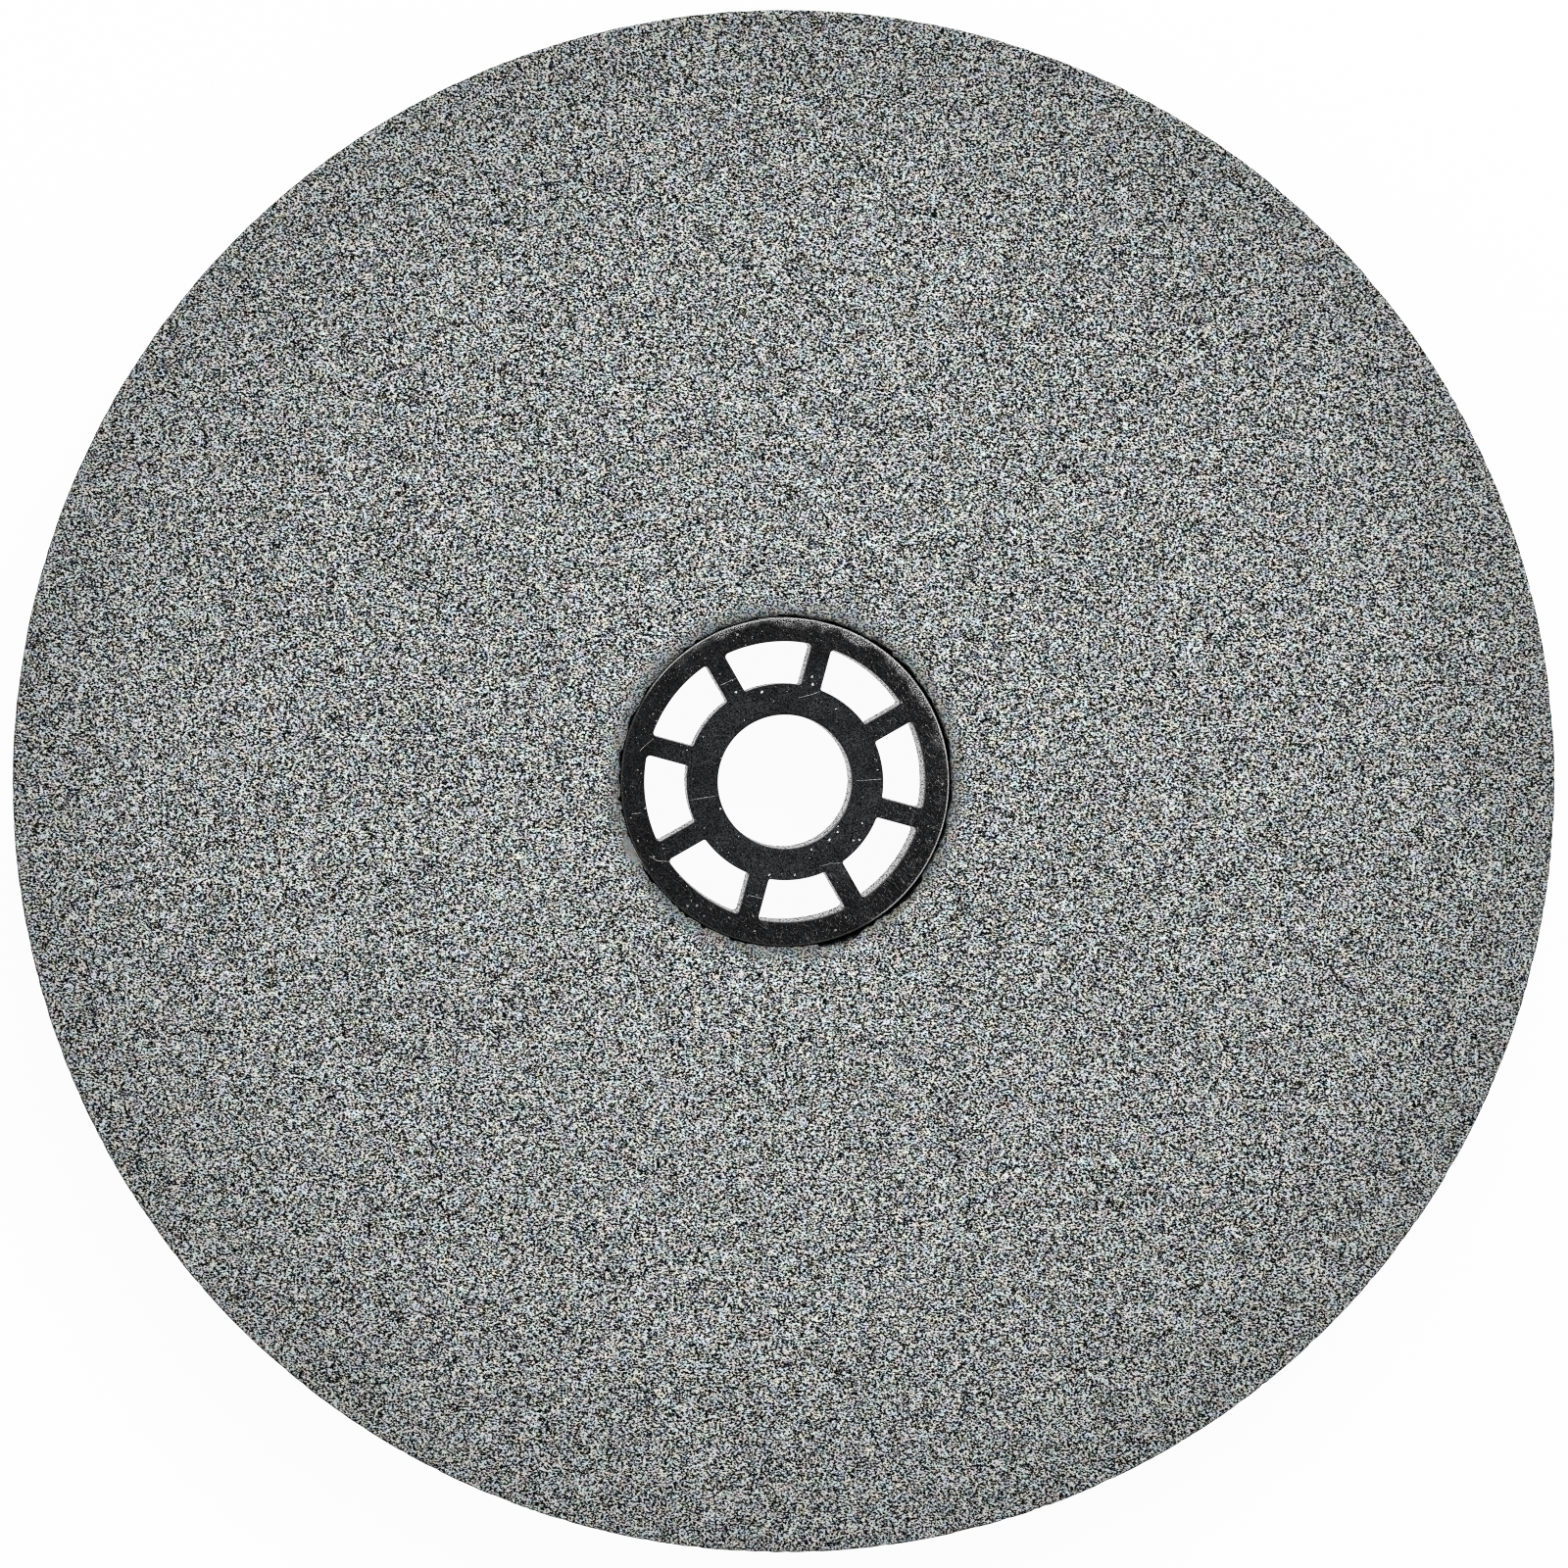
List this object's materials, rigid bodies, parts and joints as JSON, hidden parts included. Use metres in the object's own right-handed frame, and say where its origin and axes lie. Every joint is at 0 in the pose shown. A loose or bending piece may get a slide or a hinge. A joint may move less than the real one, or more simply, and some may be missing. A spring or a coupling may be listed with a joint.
{
  "type": "bench grinding wheel",
  "caption": "Flat vitrified abrasive disc with a spoked plastic reducing bush in its hole, for the spindle of a bench grinder.",
  "frame": {"origin": "centre of the bore in the plane of the rear side, on which the wheel lies", "axes": "+Z along the bore towards the front side, +Y towards the top of the picture, +X to its right"},
  "size_m": [0.15, 0.15, 0.016],
  "materials": {
    "abrasive": "rough vitrified abrasive grain, grey with dark pores, white glints and a few blue and brown grains",
    "bush_plastic": "satin moulded black plastic, dusty at its outer edge, with fine weld lines and scratches"
  },
  "bodies": {
    "root": {"abrasive_wheel": "abrasive", "reducing_bush": "bush_plastic"}
  },
  "joints": []
}
